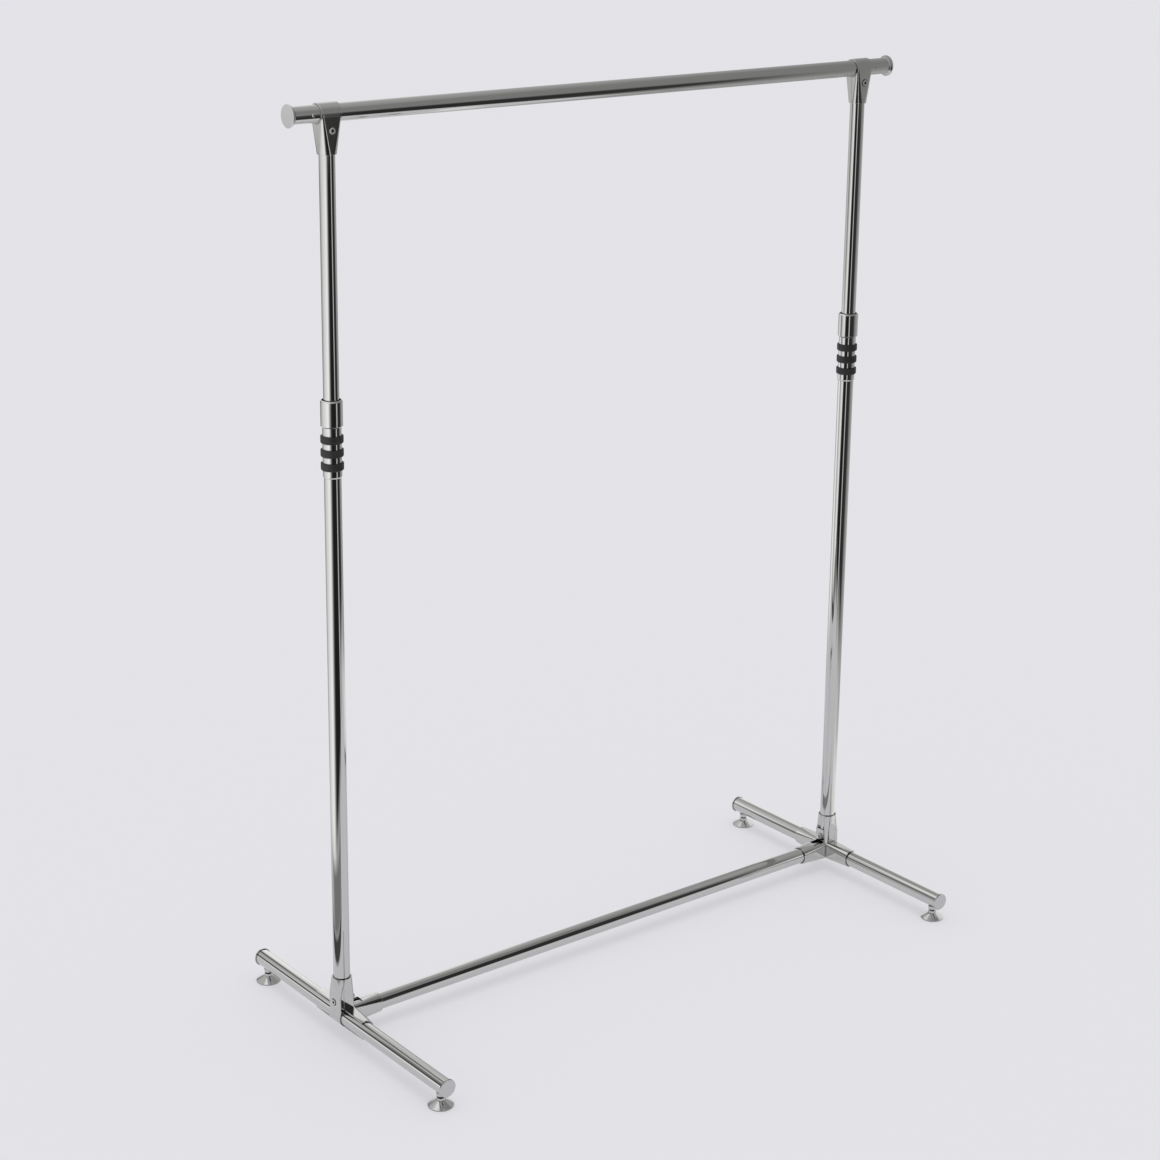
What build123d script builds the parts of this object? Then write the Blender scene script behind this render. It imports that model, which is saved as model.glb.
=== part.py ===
"""Height-adjustable garment rail: two levelled foot bars, telescoping uprights, pressed-steel clamps.

Millimetres, +Z up, X along the rail, -Y to the front. The origin is on the floor, at the
middle of the rectangle that the stand covers. The rail is at its stored height.
"""
import os

from build123d import *

os.makedirs("parts", exist_ok=True)

# ---- driving dimensions ------------------------------------------------------------------
UPRIGHT_SPACING = 1110.0      # between the two upright axes
RAIL_AXIS_Z = 1536.0          # hanging rail's axis above the floor, as stored
FOOT_AXIS_Z = 38.0            # axis of the foot bars and of the crossbar
FOOT_FRONT = 305.0            # upright axis to the front end of a foot bar, cap included
FOOT_BACK = 258.0             # upright axis to the back end
RAIL_OVERHANG = 68.0          # upright axis to the rail's end, cap included

TUBE_R = 14.0                 # 28 mm tube: rail, crossbar, foot bars, lower uprights
INNER_R = 12.7                # 25.4 mm tube: upper uprights
WALL = 1.2
FIT = 0.1                     # radial clearance of a sliding or clamped fit
GAP = 0.3                     # open seam between two pressed shells

# joints between tubes
SHEET = 2.2                   # pressed steel of every clamp
JOINT_LEG = 70.0              # base joint: axis to the end of each leg
OUTER_SHELL_SPLIT = 7.0       # base joint: the outer shell ends this far outside the axis
CORNER_R = 4.0                # corners of the clamps' square end
BASE_BOLT_Z = 26.5            # above the foot axis
SQUARE_TOP = 38.0             # outer shell: square up to here, then tapering to round
SLOT_HALF = 9.0               # base joint: half the open slot for the nut, above the crossbar
SLOT_END = 36.0               # upright axis to the slot's inner end
SLOT_TOP = 48.0               # slot's upper end, above the foot axis
EAR_BOTTOM = 18.0             # ear under the nut, above the foot axis
EAR_TOP = 41.0
EAR_RETURN = 3.5
CLAMP_WIDTH = 35.5            # top clamp, along the rail
CLAMP_DROP = 61.5             # top clamp, rail axis to its lower end
CLAMP_BOLT_DROP = 25.0        # rail axis to the clamp's bolt
CLAMP_SHEET = 2.4             # top clamp's sleeve round the rail
CLAMP_END_WALL = 1.8          # top clamp's lower end
TAPER_START = 5.0             # below the rail axis, where the top clamp starts to taper
ROUND_FLAT = 1.5              # half the flat left on each side of a clamp's round end

# fasteners, M6 socket screws in pressed cups
BOLT_R = 3.0
BOLT_HOLE_R = 3.2
HEAD_R = 5.0
HEAD_H = 6.0
SOCKET_AF = 5.0
NUT_AF = 10.0
NUT_H = 5.0
CUP_R = 6.3
CUP_DEPTH = 4.6
CUP_FLOOR = 1.8
CUP_INSET = 1.4               # a cup's rim starts this far under the clamp's face
JOINT_BOLT_L = 35.0
CLAMP_BOLT_L = 29.0

# twist lock on each lower upright
FERRULE_TOP_Z = 1094.0
FERRULE_H = 43.0
FERRULE_R = 17.8
GRIP_BOTTOM_Z = 969.0
GRIP_R = 15.3
GRIP_NECK_H = 9.5
NECK_R = 15.0
COLLET_R = 15.8
COLLET_SEAT_R = 16.0
COLLET_SLOTS = 4
COLLET_SLOT_W = 1.6
LIP_R = 15.1                  # open lip round the inner tube
LIP_H = 5.0
RING_R = 18.2
RING_H = 12.0
RING_PITCH = 21.8
RING_TOP_Z = 1036.8
RING_ROUND = 2.6              # rounding of a ring's lower edge
RING_COUNT = 3
INNER_TUBE_LENGTH = 700.0

# end caps
CAP_SPIGOT_R = TUBE_R - WALL - FIT
CAP_SPIGOT_L = 10.0
CAP_SPIGOT_WALL = 2.0
RAIL_CAP_R = 18.1
RAIL_CAP_NECK = 7.0           # face to the rail's end
RAIL_CAP_FLARE = 9.0          # radius of the flare behind the face
FOOT_CAP_R = 15.5
FOOT_CAP_H = 3.2

# levelling feet, on M8 stems in threaded inserts
PAD_R = 21.0
PAD_INSET = 19.5              # foot bar's end to the levelling foot
PAD_RIM_H = 2.0
PAD_CONE_TOP_Z = 10.6
PAD_CONE_TOP_R = 7.4
PAD_HEX_TOP_Z = 14.6
STEM_R = 4.0
STEM_TOP_Z = FOOT_AXIS_Z + 2.0
INSERT_R = 5.6
INSERT_FLANGE_R = 7.0
INSERT_FLANGE_H = 1.0
INSERT_BOTTOM_Z = FOOT_AXIS_Z - TUBE_R - FIT - INSERT_FLANGE_H
INSERT_TOP_Z = FOOT_AXIS_Z - 1.0
JAM_NUT_AF = 13.0
JAM_NUT_H = 4.4

# rivets that stop the clamps from sliding off the rail
STOP_INSET = 13.0             # clamp's edge to the rivet
STOP_SHANK_R = 1.6
STOP_HEAD_R = 2.8
STOP_HEAD_H = 1.6

# ---- places worked out from them ---------------------------------------------------------
UPRIGHT_Y = (FOOT_FRONT - FOOT_BACK) / 2
SLEEVE_R = TUBE_R + FIT + SHEET
RAIL_SLEEVE_R = TUBE_R + FIT + CLAMP_SHEET
CLAMP_END_R = INNER_R + FIT + CLAMP_END_WALL
LOWER_TUBE_BOTTOM_Z = FOOT_AXIS_Z + BASE_BOLT_Z + CUP_R + SHEET + 1.0
LOWER_TUBE_TOP_Z = FERRULE_TOP_Z - FERRULE_H + GRIP_NECK_H + 1.0
INNER_TUBE_TOP_Z = RAIL_AXIS_Z - CLAMP_BOLT_DROP - CUP_R - SHEET - 1.0
INNER_TUBE_BOTTOM_Z = INNER_TUBE_TOP_Z - INNER_TUBE_LENGTH
LEFT_X = -UPRIGHT_SPACING / 2
STOP_X = LEFT_X - CLAMP_WIDTH / 2 - STOP_INSET
ENDS = {"front": -1, "back": 1}
JOINT_CENTRE = Vector(LEFT_X, UPRIGHT_Y, FOOT_AXIS_Z)
CLAMP_CENTRE = Vector(LEFT_X, UPRIGHT_Y, RAIL_AXIS_Z)


def save(piece, name):
    """Label a finished piece and write its STEP file."""
    piece.label = name
    export_step(piece, f"parts/{name}.step")


def save_pair(piece, name):
    """Write a left-hand piece, and its mirror image as the right-hand one."""
    save(piece, f"left_{name}")
    with BuildPart() as twin:
        mirror(piece, about=Plane.YZ)
    save(twin.part, f"right_{name}")


def plane_at(x, y, z, normal, x_dir=None):
    return Plane(origin=(x, y, z), z_dir=normal, x_dir=x_dir)


def tube(start, radius, length):
    """A plain round tube that starts at a plane and runs along its normal."""
    with BuildPart() as made:
        with BuildSketch(start):
            Circle(radius)
            Circle(radius - WALL, mode=Mode.SUBTRACT)
        extrude(amount=length)
    return made.part


def turned(x, y, points):
    """A ring or disc turned about a vertical axis, from points of (radius, height)."""
    with BuildPart() as made:
        with BuildSketch(plane_at(x, y, 0, (0, -1, 0), (1, 0, 0))):
            with BuildLine():
                Polyline(*points, close=True)
            make_face()
        revolve(axis=Axis((x, y, 0), (0, 0, 1)))
    return made.part


# ---- tubes -------------------------------------------------------------------------------
def hanging_rail():
    """The rail, with a rivet hole in its front outside each clamp."""
    reach = RAIL_OVERHANG - LEFT_X - RAIL_CAP_NECK
    with BuildPart() as rail:
        add(tube(plane_at(-reach, UPRIGHT_Y, RAIL_AXIS_Z, (1, 0, 0)), TUBE_R, 2 * reach))
        for x in (STOP_X, -STOP_X):
            with BuildSketch(plane_at(x, UPRIGHT_Y, RAIL_AXIS_Z, (0, -1, 0))):
                Circle(STOP_SHANK_R + FIT)
            extrude(amount=TUBE_R + 1, mode=Mode.SUBTRACT)
    save(rail.part, "hanging_rail")


def crossbar():
    """Low bar between the two base joints; its ends stop short of the foot bars."""
    reach = -LEFT_X - TUBE_R - 2
    with BuildPart() as bar:
        add(tube(plane_at(-reach, UPRIGHT_Y, FOOT_AXIS_Z, (1, 0, 0)), TUBE_R, 2 * reach))
    save(bar.part, "crossbar")


def foot_bar():
    """A foot bar, drilled underneath for the two threaded inserts."""
    front = UPRIGHT_Y - FOOT_FRONT + FOOT_CAP_H
    back = UPRIGHT_Y + FOOT_BACK - FOOT_CAP_H
    with BuildPart() as bar:
        add(tube(plane_at(LEFT_X, front, FOOT_AXIS_Z, (0, 1, 0)), TUBE_R, back - front))
        for end in ENDS.values():
            with BuildSketch(plane_at(LEFT_X, pad_y(end), FOOT_AXIS_Z, (0, 0, -1))):
                Circle(INSERT_R + FIT)
            extrude(amount=TUBE_R + 1, mode=Mode.SUBTRACT)
    save_pair(bar.part, "foot_bar")


def uprights():
    """Lower tube from the base joint up into the lock, and inner tube from there to the clamp."""
    lower_start = Plane(origin=(LEFT_X, UPRIGHT_Y, LOWER_TUBE_BOTTOM_Z))
    save_pair(tube(lower_start, TUBE_R, LOWER_TUBE_TOP_Z - LOWER_TUBE_BOTTOM_Z), "lower_tube")
    inner_start = Plane(origin=(LEFT_X, UPRIGHT_Y, INNER_TUBE_BOTTOM_Z))
    save_pair(tube(inner_start, INNER_R, INNER_TUBE_LENGTH), "inner_tube")


def slide_bush():
    """Plastic foot of the inner tube: a collar that runs in the lower tube, on a hollow spigot."""
    end, spigot = INNER_TUBE_BOTTOM_Z - 0.05, INNER_R - WALL - FIT
    bush = turned(LEFT_X, UPRIGHT_Y, [
        (spigot - 2, end - 6), (INNER_R - 0.8, end - 6), (INNER_R, end - 4.5), (INNER_R, end),
        (spigot, end), (spigot, end + 16), (spigot - 2, end + 16)])
    save_pair(bush, "slide_bush")


# ---- end caps ----------------------------------------------------------------------------
def rail_cap():
    """Flared plug: a flat round face, a bevelled back and a hollow spigot inside the rail."""
    face_x = LEFT_X - RAIL_OVERHANG
    spigot_end = RAIL_CAP_NECK + CAP_SPIGOT_L
    neck = RAIL_CAP_NECK - 0.2
    hollow_r = CAP_SPIGOT_R - CAP_SPIGOT_WALL
    with BuildPart() as cap:
        with BuildSketch(plane_at(face_x, UPRIGHT_Y, RAIL_AXIS_Z, (0, -1, 0), (1, 0, 0))):
            with BuildLine():
                rim = Polyline((0, 0), (0, RAIL_CAP_R - 0.6), (0.6, RAIL_CAP_R), (1.6, RAIL_CAP_R),
                               (2.6, RAIL_CAP_R - 0.9))
                RadiusArc(rim @ 1, (neck, TUBE_R), RAIL_CAP_FLARE)
                Polyline((neck, TUBE_R), (neck, CAP_SPIGOT_R), (spigot_end, CAP_SPIGOT_R),
                         (spigot_end, hollow_r), (CAP_SPIGOT_WALL, hollow_r), (CAP_SPIGOT_WALL, 0),
                         (0, 0))
            make_face()
        revolve(axis=Axis((face_x, UPRIGHT_Y, RAIL_AXIS_Z), (1, 0, 0)))
    save_pair(cap.part, "rail_cap")


def foot_cap(end_name, end):
    """Thin round disc with an eased rim, on a hollow spigot inside the foot bar."""
    face_y = UPRIGHT_Y + (FOOT_BACK if end > 0 else -FOOT_FRONT)
    back = FOOT_CAP_H - 0.1
    spigot_end = FOOT_CAP_H + CAP_SPIGOT_L
    hollow_r = CAP_SPIGOT_R - CAP_SPIGOT_WALL
    with BuildPart() as cap:
        with BuildSketch(plane_at(LEFT_X, face_y, FOOT_AXIS_Z, (end, 0, 0), (0, -end, 0))):
            with BuildLine():
                Polyline((0, 0), (0, FOOT_CAP_R - 0.8), (0.8, FOOT_CAP_R), (back - 0.5, FOOT_CAP_R),
                         (back, FOOT_CAP_R - 0.5), (back, CAP_SPIGOT_R), (spigot_end, CAP_SPIGOT_R),
                         (spigot_end, hollow_r), (CAP_SPIGOT_WALL, hollow_r), (CAP_SPIGOT_WALL, 0),
                         close=True)
            make_face()
        revolve(axis=Axis((LEFT_X, face_y, FOOT_AXIS_Z), (0, 1, 0)))
    save_pair(cap.part, f"{end_name}_foot_cap")


def rail_stop():
    """Low-headed rivet in the rail, outside the clamp, that stops the clamp from sliding off."""
    axis_plane = plane_at(STOP_X, UPRIGHT_Y, RAIL_AXIS_Z, (0, -1, 0))
    with BuildPart() as rivet:
        with BuildSketch(axis_plane.offset(TUBE_R + 0.1)):
            Circle(STOP_HEAD_R)
        extrude(amount=STOP_HEAD_H)
        fillet(rivet.faces().sort_by(Axis.Y)[0].edges(), STOP_HEAD_H - 0.3)
        with BuildSketch(axis_plane.offset(TUBE_R + 0.1)):
            Circle(STOP_SHANK_R)
        extrude(amount=-WALL - 1.2)
    save_pair(rivet.part, "rail_stop")


# ---- levelling feet ----------------------------------------------------------------------
def pad_y(end):
    """Y of a levelling foot at the front (-1) or the back (+1) of a foot bar."""
    if end < 0:
        return UPRIGHT_Y - FOOT_FRONT + PAD_INSET
    return UPRIGHT_Y + FOOT_BACK - PAD_INSET


def pad_spots():
    """Sketch positions of all four levelling feet."""
    return Locations(*[(x, pad_y(end)) for x in (LEFT_X, -LEFT_X) for end in ENDS.values()])


def levelling_foot(end_name, end):
    """Conical steel pad with a hexagon for the spanner and an M8 stem."""
    y = pad_y(end)
    cone = turned(LEFT_X, y, [
        (0, 0), (PAD_R - 0.6, 0), (PAD_R, 0.6), (PAD_R, PAD_RIM_H), (PAD_R - 1.2, PAD_RIM_H + 0.7),
        (PAD_CONE_TOP_R, PAD_CONE_TOP_Z), (0, PAD_CONE_TOP_Z)])
    with BuildPart() as foot:
        add(cone)
        with BuildSketch(plane_at(LEFT_X, y, PAD_CONE_TOP_Z, (0, 0, 1))):
            RegularPolygon(JAM_NUT_AF / 2, 6, major_radius=False)
        extrude(amount=PAD_HEX_TOP_Z - PAD_CONE_TOP_Z)
        with BuildSketch(plane_at(LEFT_X, y, PAD_HEX_TOP_Z, (0, 0, 1))):
            Circle(STEM_R)
        extrude(amount=STEM_TOP_Z - PAD_HEX_TOP_Z)
        chamfer(foot.faces().sort_by(Axis.Z)[-1].edges(), 0.8)
    save_pair(foot.part, f"{end_name}_levelling_foot")


def threaded_inserts():
    """Four flanged inserts pressed into the foot bars, for the levelling feet's stems."""
    sleeve_bottom_z = INSERT_BOTTOM_Z + INSERT_FLANGE_H
    with BuildPart() as inserts:
        with BuildSketch(Plane.XY.offset(INSERT_BOTTOM_Z)):
            with pad_spots():
                Circle(INSERT_FLANGE_R)
                Circle(STEM_R + FIT, mode=Mode.SUBTRACT)
        extrude(amount=INSERT_FLANGE_H)
        with BuildSketch(Plane.XY.offset(sleeve_bottom_z)):
            with pad_spots():
                Circle(INSERT_R)
                Circle(STEM_R + FIT, mode=Mode.SUBTRACT)
        extrude(amount=INSERT_TOP_Z - sleeve_bottom_z)
    save(inserts.part, "levelling_inserts")


def jam_nuts():
    """Four thin nuts that lock the stems against the inserts' flanges."""
    with BuildPart() as nuts:
        with BuildSketch(Plane.XY.offset(INSERT_BOTTOM_Z - FIT - JAM_NUT_H)):
            with pad_spots():
                RegularPolygon(JAM_NUT_AF / 2, 6, major_radius=False, rotation=15)
                Circle(STEM_R + FIT, mode=Mode.SUBTRACT)
        extrude(amount=JAM_NUT_H)
    save(nuts.part, "levelling_jam_nuts")


# ---- fasteners ---------------------------------------------------------------------------
def socket_bolt(seat, length, name):
    """Socket screw: its head stands on the seat plane, its shank runs against the normal."""
    with BuildPart() as bolt:
        with BuildSketch(seat):
            Circle(HEAD_R)
        extrude(amount=HEAD_H)
        chamfer(bolt.faces().sort_by(Axis(seat.origin, seat.z_dir))[-1].edges(), 0.6)
        with BuildSketch(seat.offset(HEAD_H)):
            RegularPolygon(SOCKET_AF / 2, 6, major_radius=False)
        extrude(amount=-HEAD_H / 2, mode=Mode.SUBTRACT)
        with BuildSketch(seat):
            Circle(BOLT_R)
        extrude(amount=-length)
    save_pair(bolt.part, name)


def hex_nut(seat, name):
    """Hexagon nut with a chamfered outer face, standing on the seat plane."""
    with BuildPart() as nut:
        with BuildSketch(seat):
            Circle(NUT_AF / 2 + 0.75)
        extrude(amount=NUT_H)
        chamfer(nut.faces().sort_by(Axis(seat.origin, seat.z_dir))[-1].edges(), 0.7)
        with BuildSketch(seat):
            RegularPolygon(NUT_AF / 2, 6, major_radius=False)
        extrude(amount=NUT_H, mode=Mode.INTERSECT)
        with BuildSketch(seat):
            Circle(BOLT_R + FIT)
        extrude(amount=NUT_H, mode=Mode.SUBTRACT)
    save_pair(nut.part, name)


# ---- base joints -------------------------------------------------------------------------
def four_arms(half):
    """Arms up, inward and both ways along the foot bar: square where they meet, round at the ends."""
    with BuildPart() as block:
        for arm in (Vector(0, 0, 1), Vector(1, 0, 0), Vector(0, -1, 0), Vector(0, 1, 0)):
            with BuildSketch(Plane(origin=JOINT_CENTRE, z_dir=arm)):
                RectangleRounded(2 * half, 2 * half, CORNER_R)
            with BuildSketch(Plane(origin=JOINT_CENTRE + arm * JOINT_LEG, z_dir=arm)):
                RectangleRounded(2 * half, 2 * half, half - ROUND_FLAT)
            loft(ruled=True)
    return block.part


def at_joint(x=0.0, y=0.0, z=0.0, normal=(0, 0, 1)):
    """Plane at an offset from the crossing of the left upright's and foot bar's axes."""
    return Plane(origin=JOINT_CENTRE + (x, y, z), z_dir=normal)


def corner_shell(end_name, end):
    """Front or back shell of a base joint; the back one carries the ear under the bolt's nut."""
    ear_x = TUBE_R + FIT
    with BuildPart() as shell:
        add(four_arms(SLEEVE_R))
        add(four_arms(SLEEVE_R - SHEET), mode=Mode.SUBTRACT)
        split(bisect_by=at_joint(y=end * GAP / 2, normal=(0, end, 0)))
        split(bisect_by=at_joint(x=GAP - OUTER_SHELL_SPLIT, normal=(1, 0, 0)))
        for bore in ((0, 0, 1), (1, 0, 0)):
            with BuildSketch(at_joint(normal=bore)):
                Circle(TUBE_R + FIT)
            extrude(amount=JOINT_LEG + 1, mode=Mode.SUBTRACT)
        with BuildSketch(at_joint(y=-JOINT_LEG - 1, normal=(0, 1, 0))):
            Circle(TUBE_R + FIT)
        extrude(amount=2 * JOINT_LEG + 2, mode=Mode.SUBTRACT)
        with BuildSketch(at_joint(x=ear_x, z=TUBE_R)):
            Rectangle(SLOT_END - ear_x, 2 * SLOT_HALF, align=(Align.MIN, Align.CENTER))
        extrude(amount=SLOT_TOP - TUBE_R, mode=Mode.SUBTRACT)
        if end > 0:
            with BuildSketch(at_joint(x=ear_x, y=SLOT_HALF + EAR_RETURN, z=EAR_BOTTOM)):
                Rectangle(SHEET, 2 * SLOT_HALF + EAR_RETURN - 0.5, align=(Align.MIN, Align.MAX))
            extrude(amount=EAR_TOP - EAR_BOTTOM)
            with BuildSketch(at_joint(x=ear_x + SHEET, y=SLOT_HALF, z=EAR_BOTTOM)):
                Rectangle(0.7 * TUBE_R, EAR_RETURN, align=(Align.MAX, Align.MIN))
            extrude(amount=EAR_TOP - EAR_BOTTOM)
            with BuildSketch(at_joint()):
                Circle(TUBE_R + FIT)
            extrude(amount=JOINT_LEG, mode=Mode.SUBTRACT)
            with BuildSketch(at_joint(z=BASE_BOLT_Z, normal=(1, 0, 0))):
                Circle(BOLT_HOLE_R)
            extrude(amount=2 * TUBE_R, mode=Mode.SUBTRACT)
    save_pair(shell.part, f"joint_{end_name}_shell")


def outer_shell():
    """Cheek outside a base joint: square below, round above, wrapped round the foot bar."""
    square, hollow = 2 * SLEEVE_R, 2 * (TUBE_R + FIT) - 0.1
    face = at_joint(x=-SLEEVE_R, z=BASE_BOLT_Z, normal=(-1, 0, 0))
    with BuildPart() as shell:
        with BuildSketch(at_joint()):
            RectangleRounded(square, square, CORNER_R)
        extrude(amount=SQUARE_TOP)
        with BuildSketch(at_joint(z=SQUARE_TOP)):
            RectangleRounded(square, square, CORNER_R)
        with BuildSketch(at_joint(z=JOINT_LEG)):
            RectangleRounded(square, square, SLEEVE_R - ROUND_FLAT)
        loft(ruled=True)
        with BuildSketch(at_joint(y=-SLEEVE_R, normal=(0, 1, 0))):
            Circle(SLEEVE_R)
        extrude(amount=2 * SLEEVE_R)
        with BuildSketch(at_joint()):
            RectangleRounded(hollow, hollow, CORNER_R - SHEET)
        extrude(amount=SQUARE_TOP, mode=Mode.SUBTRACT)
        with BuildSketch(at_joint(z=SQUARE_TOP)):
            RectangleRounded(hollow, hollow, CORNER_R - SHEET)
        with BuildSketch(at_joint(z=JOINT_LEG)):
            RectangleRounded(hollow, hollow, TUBE_R - ROUND_FLAT)
        loft(ruled=True, mode=Mode.SUBTRACT)
        with BuildSketch(face.offset(-CUP_INSET)):
            Circle(CUP_R + CUP_FLOOR)
        extrude(amount=CUP_INSET - CUP_DEPTH - CUP_FLOOR)
        with BuildSketch(face.offset(1)):
            Circle(CUP_R)
        extrude(amount=-1 - CUP_DEPTH, mode=Mode.SUBTRACT)
        with BuildSketch(face):
            Circle(BOLT_HOLE_R)
        extrude(amount=-SLEEVE_R, mode=Mode.SUBTRACT)
        with BuildSketch(at_joint(z=LOWER_TUBE_BOTTOM_Z - FOOT_AXIS_Z)):
            Circle(TUBE_R + FIT)
        extrude(amount=JOINT_LEG, mode=Mode.SUBTRACT)
        with BuildSketch(at_joint(y=-2 * SLEEVE_R, normal=(0, 1, 0))):
            Circle(TUBE_R + FIT)
        extrude(amount=4 * SLEEVE_R, mode=Mode.SUBTRACT)
        split(bisect_by=at_joint(x=-OUTER_SHELL_SPLIT, normal=(-1, 0, 0)))
    save_pair(shell.part, "joint_outer_shell")


def joint_fasteners():
    """Socket bolt in the outer shell's cup, and its nut on the back shell's ear."""
    seat_x = CUP_DEPTH - SLEEVE_R
    socket_bolt(at_joint(x=seat_x, z=BASE_BOLT_Z, normal=(-1, 0, 0)), JOINT_BOLT_L, "joint_bolt")
    hex_nut(at_joint(x=SLEEVE_R + 0.05, z=BASE_BOLT_Z, normal=(1, 0, 0)), "joint_nut")


# ---- top clamps --------------------------------------------------------------------------
def at_clamp(x=0.0, y=0.0, z=0.0, normal=(0, 0, 1)):
    """Plane at an offset from the crossing of the left upright's and the rail's axes."""
    return Plane(origin=CLAMP_CENTRE + (x, y, z), z_dir=normal)


def rail_clamp_half(end_name, end):
    """Half of a top clamp: wrapped over the rail, tapering from square to round on the upright."""
    depth = 2 * RAIL_SLEEVE_R
    hollow_width, hollow_depth = CLAMP_WIDTH - 2 * CLAMP_SHEET, depth - 2 * CLAMP_SHEET - 0.1
    bore = 2 * (INNER_R + FIT)
    face = at_clamp(y=end * RAIL_SLEEVE_R, z=-CLAMP_BOLT_DROP, normal=(0, end, 0))
    with BuildPart() as half:
        with BuildSketch(at_clamp(x=-CLAMP_WIDTH / 2, normal=(1, 0, 0))):
            Circle(RAIL_SLEEVE_R)
        extrude(amount=CLAMP_WIDTH)
        with BuildSketch(at_clamp()):
            RectangleRounded(CLAMP_WIDTH, depth, CORNER_R)
        extrude(amount=-TAPER_START)
        with BuildSketch(at_clamp(z=-TAPER_START)):
            RectangleRounded(CLAMP_WIDTH, depth, CORNER_R)
        with BuildSketch(at_clamp(z=-CLAMP_DROP)):
            RectangleRounded(2 * CLAMP_END_R, 2 * CLAMP_END_R, CLAMP_END_R - ROUND_FLAT)
        loft(ruled=True)
        with BuildSketch(at_clamp(z=-TAPER_START)):
            RectangleRounded(hollow_width, hollow_depth, CORNER_R - CLAMP_SHEET)
        with BuildSketch(at_clamp(z=-CLAMP_DROP)):
            RectangleRounded(bore, bore, INNER_R - ROUND_FLAT)
        loft(ruled=True, mode=Mode.SUBTRACT)
        with BuildSketch(face.offset(-CUP_INSET)):
            Circle(CUP_R + CUP_FLOOR)
        extrude(amount=CUP_INSET - CUP_DEPTH - CUP_FLOOR)
        with BuildSketch(face.offset(1)):
            Circle(CUP_R)
        extrude(amount=-1 - CUP_DEPTH, mode=Mode.SUBTRACT)
        with BuildSketch(face):
            Circle(BOLT_HOLE_R)
        extrude(amount=-RAIL_SLEEVE_R, mode=Mode.SUBTRACT)
        with BuildSketch(at_clamp(x=-CLAMP_WIDTH, normal=(1, 0, 0))):
            Circle(TUBE_R + FIT)
        extrude(amount=2 * CLAMP_WIDTH, mode=Mode.SUBTRACT)
        split(bisect_by=at_clamp(y=end * GAP / 2, normal=(0, end, 0)))
    save_pair(half.part, f"clamp_{end_name}_half")


def clamp_fasteners():
    """Socket bolt from the front through each top clamp, and its nut in the back cup."""
    seat_y = RAIL_SLEEVE_R - CUP_DEPTH
    socket_bolt(at_clamp(y=-seat_y, z=-CLAMP_BOLT_DROP, normal=(0, -1, 0)), CLAMP_BOLT_L, "clamp_bolt")
    hex_nut(at_clamp(y=seat_y, z=-CLAMP_BOLT_DROP, normal=(0, 1, 0)), "clamp_nut")


# ---- twist locks -------------------------------------------------------------------------
def ferrule():
    """Outer nut of the lock: neck bore below, collet seat inside, open lip round the inner tube."""
    top, bottom = FERRULE_TOP_Z, FERRULE_TOP_Z - FERRULE_H
    bore = NECK_R + FIT
    save_pair(turned(LEFT_X, UPRIGHT_Y, [
        (bore, bottom), (FERRULE_R - 1.6, bottom), (FERRULE_R, bottom + 1.6), (FERRULE_R, top - 2.4),
        (FERRULE_R - 1.0, top - 0.8), (FERRULE_R - 2.0, top), (LIP_R + 0.3, top), (LIP_R, top - 0.5),
        (LIP_R, top - LIP_H), (COLLET_SEAT_R, top - LIP_H - 1), (COLLET_SEAT_R, LOWER_TUBE_TOP_Z),
        (bore, LOWER_TUBE_TOP_Z)]), "lock_ferrule")


def lock_grip():
    """Turning sleeve of the lock, with a neck inside the ferrule and an eased lower end."""
    bottom, top = GRIP_BOTTOM_Z, FERRULE_TOP_Z - FERRULE_H - GAP
    bore = TUBE_R + FIT
    save_pair(turned(LEFT_X, UPRIGHT_Y, [
        (bore, bottom), (GRIP_R - 1.0, bottom), (GRIP_R, bottom + 2.4), (GRIP_R, top), (NECK_R, top),
        (NECK_R, top + GRIP_NECK_H), (bore, top + GRIP_NECK_H)]), "lock_grip")


def collet():
    """Split plastic ring that grips the inner tube, slotted from its top."""
    bottom, top = LOWER_TUBE_TOP_Z + 0.4, FERRULE_TOP_Z - LIP_H - 1.5
    bore = INNER_R + FIT
    with BuildPart() as ring:
        add(turned(LEFT_X, UPRIGHT_Y, [
            (bore, bottom), (COLLET_R, bottom), (COLLET_R, top - 6), (COLLET_R - 1.6, top), (bore, top)]))
        with BuildSketch(plane_at(LEFT_X, UPRIGHT_Y, bottom + 5, (0, 0, 1))):
            with PolarLocations((INNER_R + COLLET_R) / 2, COLLET_SLOTS, start_angle=45):
                Rectangle(2 * (COLLET_R - INNER_R), COLLET_SLOT_W)
        extrude(amount=top - bottom, mode=Mode.SUBTRACT)
    save_pair(ring.part, "lock_collet")


def grip_ring(number):
    """Rubber ring on the grip, counted from the top: square above, rounded below."""
    top = RING_TOP_Z - number * RING_PITCH
    bottom = top - RING_H
    bore = GRIP_R + 0.02
    with BuildPart() as ring:
        with BuildSketch(plane_at(LEFT_X, UPRIGHT_Y, 0, (0, -1, 0), (1, 0, 0))):
            with BuildLine():
                low_corner, high_corner = (RING_R - RING_ROUND, bottom), (RING_R, bottom + RING_ROUND)
                Polyline(high_corner, (RING_R, top - 0.5), (RING_R - 0.5, top), (bore, top),
                         (bore, bottom), low_corner)
                RadiusArc(low_corner, high_corner, -RING_ROUND)
            make_face()
        revolve(axis=Axis((LEFT_X, UPRIGHT_Y, 0), (0, 0, 1)))
    save_pair(ring.part, f"grip_ring_{number + 1}")


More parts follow.
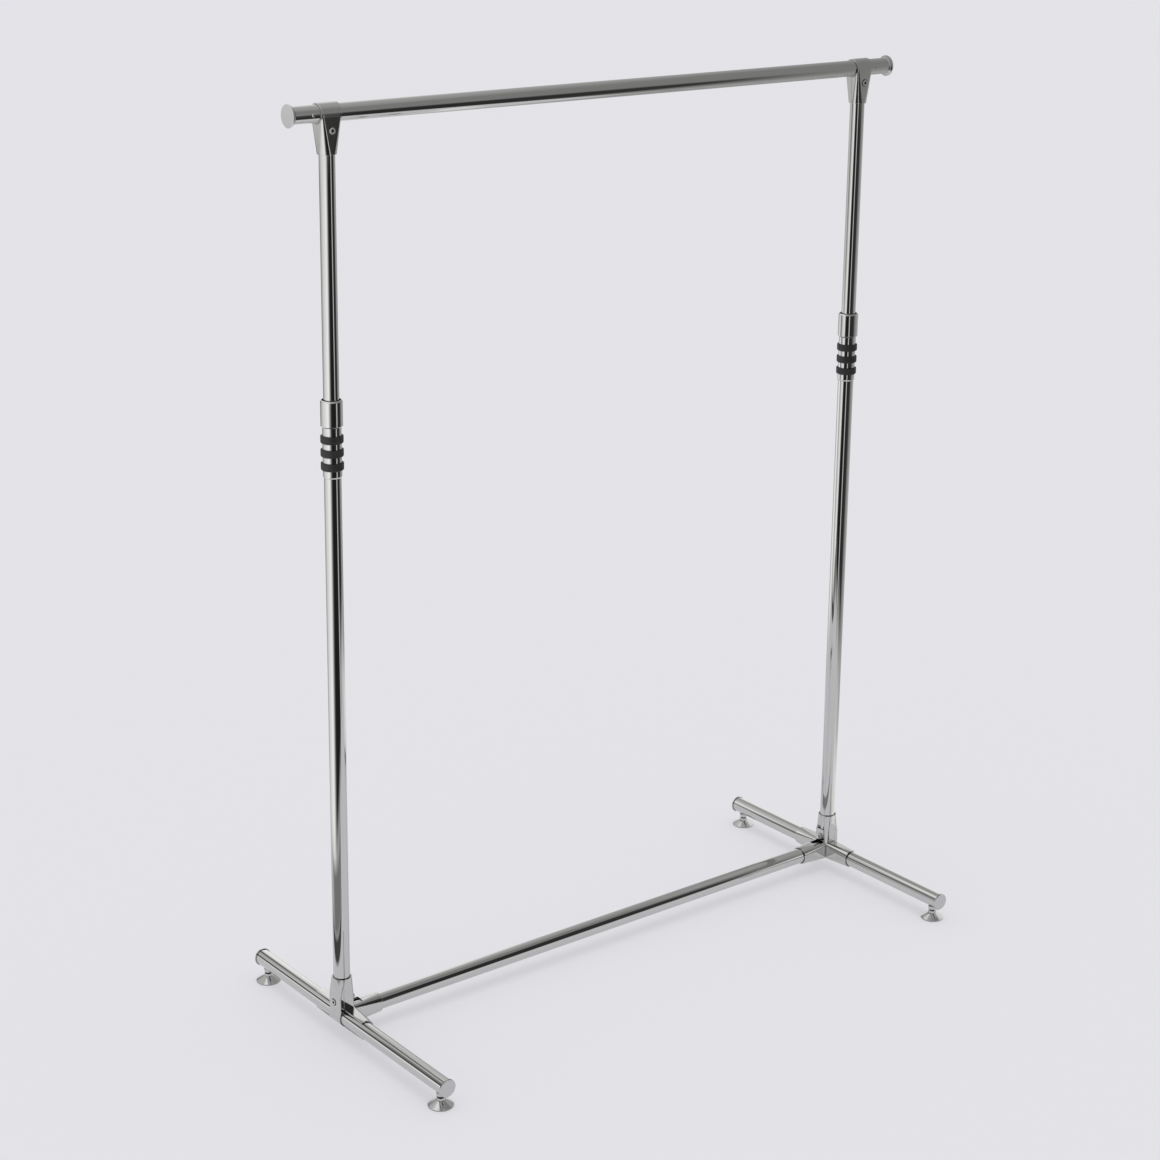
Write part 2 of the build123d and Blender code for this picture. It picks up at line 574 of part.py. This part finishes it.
# ---- the stand ---------------------------------------------------------------------------
hanging_rail()
crossbar()
foot_bar()
uprights()
slide_bush()
rail_cap()
rail_stop()
threaded_inserts()
jam_nuts()
outer_shell()
joint_fasteners()
clamp_fasteners()
ferrule()
lock_grip()
collet()
for ring_number in range(RING_COUNT):
    grip_ring(ring_number)
for name, direction in ENDS.items():
    foot_cap(name, direction)
    levelling_foot(name, direction)
    corner_shell(name, direction)
    rail_clamp_half(name, direction)
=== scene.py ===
"""Looks of a chrome garment rail: its finishes, the soft studio round it and the camera."""
import math

import bmesh
import bpy
from mathutils import Matrix, Vector

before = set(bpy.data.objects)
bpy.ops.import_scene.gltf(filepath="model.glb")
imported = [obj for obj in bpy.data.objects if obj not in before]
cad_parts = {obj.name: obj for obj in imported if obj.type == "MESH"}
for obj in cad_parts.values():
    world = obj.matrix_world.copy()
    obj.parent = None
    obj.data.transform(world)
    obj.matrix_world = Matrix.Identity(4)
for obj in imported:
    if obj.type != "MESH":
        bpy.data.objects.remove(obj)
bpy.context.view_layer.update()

# ---- camera ------------------------------------------------------------------------------
CAMERA_AT = Vector((-2.5151, -3.0842, 2.0147))
CAMERA_YAW = math.radians(38.28)       # clockwise from +Y
CAMERA_PITCH = math.radians(16.208)    # below the horizon
CAMERA_ROLL = math.radians(0.641)
CAMERA_LENS = 75.5                     # mm on a 36 mm sensor
CAMERA_SHIFT_Y = -0.0776

# ---- studio ------------------------------------------------------------------------------
FLOOR_SIZE = 120.0
FLOOR_COLOUR = (0.800, 0.795, 0.820)
FLOOR_SHARE = 0.48                     # of the floor's brightness that shadows can take away
FLOOR_PAPER = tuple(FLOOR_SHARE * c for c in FLOOR_COLOUR)
FLOOR_GLOW = 0.966 * (1.0 - FLOOR_SHARE)
SKY_COLOUR = (0.773, 0.766, 0.804)
OVERHEAD_STRENGTH = 0.606
OVERHEAD_SOFTNESS = math.radians(32)
SURROUND_RADIUS = 1.15
SURROUND_HEIGHT = 2.6
SURROUND_CARDS = (                     # azimuth in degrees from -Y towards +X, shade
    (-180, 0.56), (-162, 0.60), (-152, 0.45), (-147, 0.14), (-137, 0.14), (-131, 0.45),
    (-118, 0.52), (-105, 0.78), (-92, 0.86), (-82, 1.00), (-74, 1.00), (-66, 0.55),
    (-60, 0.18), (-53, 0.03), (-45, 0.015), (-20, 0.015), (-12, 0.05), (-8, 0.62), (0, 0.62),
    (4, 0.05), (16, 0.025), (36, 0.03), (52, 0.04), (61, 0.20), (72, 0.30), (90, 0.42),
    (118, 0.30), (140, 0.40), (154, 0.50), (166, 0.56), (180, 0.56))
CARD_LEAN = 0.05                       # turns per metre of height, on the left of the surround
CARD_PIVOT = 1.15                      # height where the leaning cards are at their azimuths
CARD_STRENGTH = 1.29
OVERHEAD_CARD = (                      # part of the way from front right to back left, shade
    (0.10, 0.23), (0.40, 0.36), (0.62, 0.42), (0.85, 0.85))
NEAR_FLOOR_SHADE = 0.60
WINDOW_SHADE = 0.95
LOW_CARDS = (                          # name, x, front and back y, bottom and top z, shade
    ("left_low_card", -0.675, -0.50, 0.80, 0.072, 0.134, 0.06),
    ("left_front_low_card", -0.690, -0.60, 0.24, 0.100, 0.27, 0.20),
    ("right_low_card", 0.435, -0.50, 0.80, 0.070, 0.104, 0.20),
    ("right_bright_card", 0.700, -0.50, 0.70, -0.200, 0.210, 0.80))


# ---- camera and node helpers -------------------------------------------------------------
def make_camera():
    """A camera at the three-quarter view, turned, tipped down and slightly rolled."""
    data = bpy.data.cameras.new("camera")
    data.sensor_width = 36.0
    data.lens = CAMERA_LENS
    data.shift_y = CAMERA_SHIFT_Y
    data.clip_end = 200.0
    camera = bpy.data.objects.new("camera", data)
    bpy.context.scene.collection.objects.link(camera)
    forward = Vector((math.sin(CAMERA_YAW) * math.cos(CAMERA_PITCH),
                      math.cos(CAMERA_YAW) * math.cos(CAMERA_PITCH), -math.sin(CAMERA_PITCH)))
    level = Vector((math.cos(CAMERA_YAW), -math.sin(CAMERA_YAW), 0.0))
    upward = level.cross(forward)
    right = level * math.cos(CAMERA_ROLL) + upward * math.sin(CAMERA_ROLL)
    up = right.cross(forward)
    axes = Matrix((right, up, -forward)).transposed()
    camera.matrix_world = Matrix.Translation(CAMERA_AT) @ axes.to_4x4()
    bpy.context.scene.camera = camera


def new_tree(name):
    """A new material's node tree, emptied, with its output node."""
    material = bpy.data.materials.new(name)
    material.use_nodes = True
    tree = material.node_tree
    tree.nodes.clear()
    return material, tree, tree.nodes.new("ShaderNodeOutputMaterial")


def add_node(tree, kind, settings=None, **inputs):
    """A node with its settings, and its inputs set to a value or linked to another socket.

    An input is called by its name, with _ for a space, or by its number after a _.
    """
    node = tree.nodes.new(kind)
    for key, value in (settings or {}).items():
        setattr(node, key, value)
    for key, value in inputs.items():
        socket = node.inputs[int(key[1:])] if key[1:].isdigit() else node.inputs[key.replace("_", " ")]
        if isinstance(value, bpy.types.NodeSocket):
            tree.links.new(value, socket)
        else:
            socket.default_value = value
    return node


def ramp(tree, factor, stops):
    """A colour ramp over grey or colour stops, as (position, value) pairs."""
    node = add_node(tree, "ShaderNodeValToRGB", Fac=factor)
    elements = node.color_ramp.elements
    while len(elements) < len(stops):
        elements.new(0.5)
    for element, (position, value) in zip(elements, stops):
        element.position = position
        colour = value if isinstance(value, tuple) else (value, value, value)
        element.color = (*colour, 1.0)
    return node.outputs["Color"]


def math_node(tree, operation, first, second=0.0):
    """The result of a sum on one or two numbers or sockets."""
    return add_node(tree, "ShaderNodeMath", {"operation": operation}, _0=first, _1=second).outputs[0]


# ---- floor, light and what the chrome reflects -------------------------------------------
def make_floor():
    """A wide pale floor, lit partly from within so that shadows on it stay light."""
    mesh = bpy.data.meshes.new("floor")
    half = FLOOR_SIZE / 2
    mesh.from_pydata([(-half, -half, 0), (half, -half, 0), (half, half, 0), (-half, half, 0)], [],
                     [(0, 1, 2, 3)])
    floor = bpy.data.objects.new("floor", mesh)
    bpy.context.scene.collection.objects.link(floor)
    material, tree, output = new_tree("floor_paper")
    paper = add_node(tree, "ShaderNodeBsdfDiffuse", Color=(*FLOOR_PAPER, 1.0))
    glow = add_node(tree, "ShaderNodeEmission", Color=(*FLOOR_COLOUR, 1.0), Strength=FLOOR_GLOW)
    both = add_node(tree, "ShaderNodeAddShader", _0=paper.outputs[0], _1=glow.outputs[0])
    tree.links.new(both.outputs[0], output.inputs["Surface"])
    mesh.materials.append(material)


def make_light():
    """Even pale light from all round, and a soft light from straight above."""
    world = bpy.data.worlds.new("studio")
    world.use_nodes = True
    background = world.node_tree.nodes["Background"]
    background.inputs["Color"].default_value = (*SKY_COLOUR, 1.0)
    bpy.context.scene.world = world
    light = bpy.data.lights.new("overhead", "SUN")
    light.energy = OVERHEAD_STRENGTH
    light.angle = OVERHEAD_SOFTNESS
    light.specular_factor = 0.0
    lamp = bpy.data.objects.new("overhead", light)
    lamp.visible_glossy = False
    bpy.context.scene.collection.objects.link(lamp)


def glossy_only(thing):
    """Hide an object from everything but reflections, and keep it out of the stand's record."""
    for ray in ("camera", "diffuse", "transmission", "volume_scatter", "shadow"):
        setattr(thing, f"visible_{ray}", False)
    bpy.context.scene.collection.objects.link(thing)


def make_surround():
    """A room round the stand that only its polished metal sees: cards bright, dark and grey in turn.

    The cards turn pale near the floor, over more height at the front right, and a bright window
    stands low behind. The ceiling and the top of the wall are one card, brightest at the back left.
    """
    bm = bmesh.new()
    bmesh.ops.create_cone(bm, segments=128, radius1=SURROUND_RADIUS, radius2=SURROUND_RADIUS,
                          depth=SURROUND_HEIGHT, cap_ends=True)
    bmesh.ops.translate(bm, verts=bm.verts, vec=(0, 0, SURROUND_HEIGHT / 2))
    bmesh.ops.delete(bm, geom=[f for f in bm.faces if f.normal.z < -0.9], context="FACES_ONLY")
    mesh = bpy.data.meshes.new("surround")
    bm.to_mesh(mesh)
    bm.free()
    material, tree, output = new_tree("surround_cards")
    place = add_node(tree, "ShaderNodeTexCoord").outputs["Object"]
    split = add_node(tree, "ShaderNodeSeparateXYZ", Vector=place)
    x, y, z = split.outputs
    azimuth = math_node(tree, "ARCTAN2", x, math_node(tree, "MULTIPLY", y, -1.0))
    turn = math_node(tree, "ADD", math_node(tree, "DIVIDE", azimuth, 2 * math.pi), 0.5)
    lean = add_node(tree, "ShaderNodeMapRange", Value=turn, From_Min=0.36, From_Max=0.46,
                    To_Min=CARD_LEAN, To_Max=0.0)
    above = math_node(tree, "SUBTRACT", z, CARD_PIVOT)
    leaning = math_node(tree, "SUBTRACT", turn, math_node(tree, "MULTIPLY", lean.outputs[0], above))
    middle = ramp(tree, leaning, [((degrees + 180) / 360, shade) for degrees, shade in SURROUND_CARDS])
    height = math_node(tree, "DIVIDE", z, SURROUND_HEIGHT)
    low = ramp(tree, height, [(0.0, 1.0), (0.045, 0.0)])
    right_front = ramp(tree, turn, [(0.51, 0.0), (0.54, 1.0), (0.70, 1.0), (0.74, 0.0)])
    rising = ramp(tree, height, [(0.03, 1.0), (0.10, 0.0)])
    pale = math_node(tree, "MAXIMUM", low, math_node(tree, "MULTIPLY", right_front, rising))
    high = ramp(tree, height, [(0.50, 0.0), (0.62, 1.0)])
    back_left = math_node(tree, "MULTIPLY", math_node(tree, "SUBTRACT", y, x), 0.3)
    overhead = ramp(tree, math_node(tree, "ADD", back_left, 0.5), OVERHEAD_CARD)
    behind = ramp(tree, turn, [(0.0, 1.0), (0.03, 1.0), (0.06, 0.0), (0.93, 0.0), (0.96, 1.0)])
    near_floor = ramp(tree, height, [(0.27, 1.0), (0.36, 0.0)])
    window = add_node(tree, "ShaderNodeMix", {"data_type": "RGBA"},
                      _0=math_node(tree, "MULTIPLY", behind, near_floor), _6=middle,
                      _7=(WINDOW_SHADE, WINDOW_SHADE, WINDOW_SHADE, 1.0))
    lower = add_node(tree, "ShaderNodeMix", {"data_type": "RGBA"}, _0=pale, _6=window.outputs[2],
                     _7=(NEAR_FLOOR_SHADE, NEAR_FLOOR_SHADE, NEAR_FLOOR_SHADE, 1.0))
    whole = add_node(tree, "ShaderNodeMix", {"data_type": "RGBA"}, _0=high, _6=lower.outputs[2],
                     _7=overhead)
    shader = add_node(tree, "ShaderNodeEmission", Color=whole.outputs[2], Strength=CARD_STRENGTH)
    tree.links.new(shader.outputs[0], output.inputs["Surface"])
    mesh.materials.append(material)
    glossy_only(bpy.data.objects.new("surround", mesh))


def make_low_cards():
    """Soft-edged cards near the floor: dark strips left of the foot bars, a bright one at the right."""
    for name, x, front, back, bottom, top, shade in LOW_CARDS:
        material, tree, output = new_tree(name)
        place = add_node(tree, "ShaderNodeTexCoord").outputs["Generated"]
        split = add_node(tree, "ShaderNodeSeparateXYZ", Vector=place)
        off_y, off_z = [math_node(tree, "ABSOLUTE", math_node(tree, "SUBTRACT", side, 0.5))
                        for side in split.outputs[1:]]
        cover = ramp(tree, math_node(tree, "MAXIMUM", off_y, off_z), [(0.28, 1.0), (0.5, 0.0)])
        clear = add_node(tree, "ShaderNodeBsdfTransparent")
        card = add_node(tree, "ShaderNodeEmission", Color=(shade, shade, shade, 1.0),
                        Strength=CARD_STRENGTH)
        soft = add_node(tree, "ShaderNodeMixShader", _0=cover, _1=clear.outputs[0],
                        _2=card.outputs[0])
        tree.links.new(soft.outputs[0], output.inputs["Surface"])
        mesh = bpy.data.meshes.new(name)
        mesh.from_pydata([(x, front, bottom), (x, back, bottom), (x, back, top), (x, front, top)], [],
                         [(0, 1, 2, 3)])
        mesh.materials.append(material)
        glossy_only(bpy.data.objects.new(name, mesh))


# ---- finishes ----------------------------------------------------------------------------
FINE, LONG = 260.0, 4.0                # repeats per metre of the streaks, across and along a tube
CREVICE = 0.005                        # how far into a corner the painted shade darkens the plate's colour
STEEL = (0.615, 0.618, 0.605)


def chrome(name, tint, rough, streak, edge=0.0):
    """Polished plate, whose tint varies a little in wiped streaks and whose gloss varies in patches.

    streak holds how finely the streaks repeat along x, y and z, and is small along the tube. With an
    edge in metres, sharp edges look eased by that much, and painted shade darkens the plate's colour in
    its corners.
    """
    material, tree, output = new_tree(name)
    place = add_node(tree, "ShaderNodeTexCoord").outputs["Object"]
    wiped = add_node(tree, "ShaderNodeMapping", Vector=place, Scale=streak)
    smear = add_node(tree, "ShaderNodeTexNoise", Vector=wiped.outputs[0], Scale=1.0, Detail=4.0,
                     Roughness=0.55)
    haze = add_node(tree, "ShaderNodeTexNoise", Vector=place, Scale=14.0, Detail=4.0)
    colour = ramp(tree, smear.outputs["Fac"],
                  [(0.3, tuple(0.94 * c for c in tint)), (0.7, tint)])
    gloss = add_node(tree, "ShaderNodeMapRange", Value=haze.outputs["Fac"], From_Min=0.3,
                     From_Max=0.75, To_Min=rough, To_Max=1.8 * rough)
    scratch = add_node(tree, "ShaderNodeBump", Strength=0.03, Distance=0.0003,
                       Height=smear.outputs["Fac"])
    if edge:
        eased = add_node(tree, "ShaderNodeBevel", {"samples": 6}, Radius=edge)
        tree.links.new(eased.outputs[0], scratch.inputs["Normal"])
        # painted shade: ambient occlusion darkens the plate's colour in corners, seams and round the
        # bolts
        open_air = add_node(tree, "ShaderNodeAmbientOcclusion", {"samples": 8}, Distance=CREVICE)
        painted_crevice_shade = ramp(tree, open_air.outputs["AO"], [(0.30, 0.12), (0.85, 1.0)])
        colour = add_node(tree, "ShaderNodeMix", {"data_type": "RGBA", "blend_type": "MULTIPLY"},
                          _0=1.0, _6=colour, _7=painted_crevice_shade).outputs[2]
    shader = add_node(tree, "ShaderNodeBsdfPrincipled", Base_Color=colour, Metallic=1.0,
                      Roughness=gloss.outputs[0], Normal=scratch.outputs[0])
    tree.links.new(shader.outputs[0], output.inputs["Surface"])
    return material


def matte(name, colour, rough, grain, depth):
    """Rubber or moulded plastic: fine grain in the surface, and a slight bloom in its colour."""
    material, tree, output = new_tree(name)
    place = add_node(tree, "ShaderNodeTexCoord").outputs["Object"]
    fine = add_node(tree, "ShaderNodeTexNoise", Vector=place, Scale=grain, Detail=3.0)
    bloom = add_node(tree, "ShaderNodeTexNoise", Vector=place, Scale=60.0, Detail=5.0)
    shade = ramp(tree, bloom.outputs["Fac"],
                 [(0.35, colour), (0.75, tuple(1.9 * c for c in colour))])
    dull = add_node(tree, "ShaderNodeMapRange", Value=bloom.outputs["Fac"], To_Min=rough - 0.08,
                    To_Max=rough + 0.1)
    pits = add_node(tree, "ShaderNodeBump", Strength=0.35, Distance=depth, Height=fine.outputs["Fac"])
    shader = add_node(tree, "ShaderNodeBsdfPrincipled", Base_Color=shade, Roughness=dull.outputs[0],
                      Normal=pits.outputs[0])
    tree.links.new(shader.outputs[0], output.inputs["Surface"])
    return material


along_x = chrome("chrome_along_x", STEEL, 0.03, (LONG, FINE, FINE))
along_y = chrome("chrome_along_y", STEEL, 0.03, (FINE, LONG, FINE))
along_z = chrome("chrome_along_z", STEEL, 0.03, (FINE, FINE, LONG))
turned = chrome("chrome_turned", STEEL, 0.03, (FINE, FINE, LONG), 0.0008)
pressed = chrome("chrome_pressed", (0.595, 0.60, 0.585), 0.04, (120.0, 120.0, 120.0), 0.0008)
satin = chrome("satin_plate", (0.585, 0.59, 0.585), 0.14, (300.0, 300.0, 300.0), 0.0006)
zinc = chrome("zinc_plate", (0.62, 0.62, 0.61), 0.09, (300.0, 300.0, 300.0), 0.0004)
screw = chrome("screw_plate", (0.78, 0.78, 0.78), 0.42, (300.0, 300.0, 300.0), 0.0004)
rubber = matte("rubber", (0.012, 0.012, 0.012), 0.55, 2500.0, 0.00006)
plastic = matte("black_plastic", (0.018, 0.018, 0.018), 0.42, 1200.0, 0.00003)

FINISHES = {
    "hanging_rail": along_x, "crossbar": along_x, "foot_bar": along_y, "lower_tube": along_z,
    "inner_tube": along_z, "joint_": pressed, "clamp_": pressed, "rail_cap": satin, "foot_cap": satin,
    "lock_ferrule": turned, "lock_grip": turned, "lock_collet": plastic, "slide_bush": plastic,
    "grip_ring": rubber, "rail_stop": zinc, "levelling": zinc, "_bolt": screw, "_nut": zinc,
}

# the last key that is part of a node's name gives its finish
for node_name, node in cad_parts.items():
    finish = [FINISHES[key] for key in FINISHES if key in node_name][-1]
    for slot in node.material_slots:
        slot.material = finish

make_camera()
make_floor()
make_light()
make_surround()
make_low_cards()
bpy.context.scene.view_settings.view_transform = "Standard"
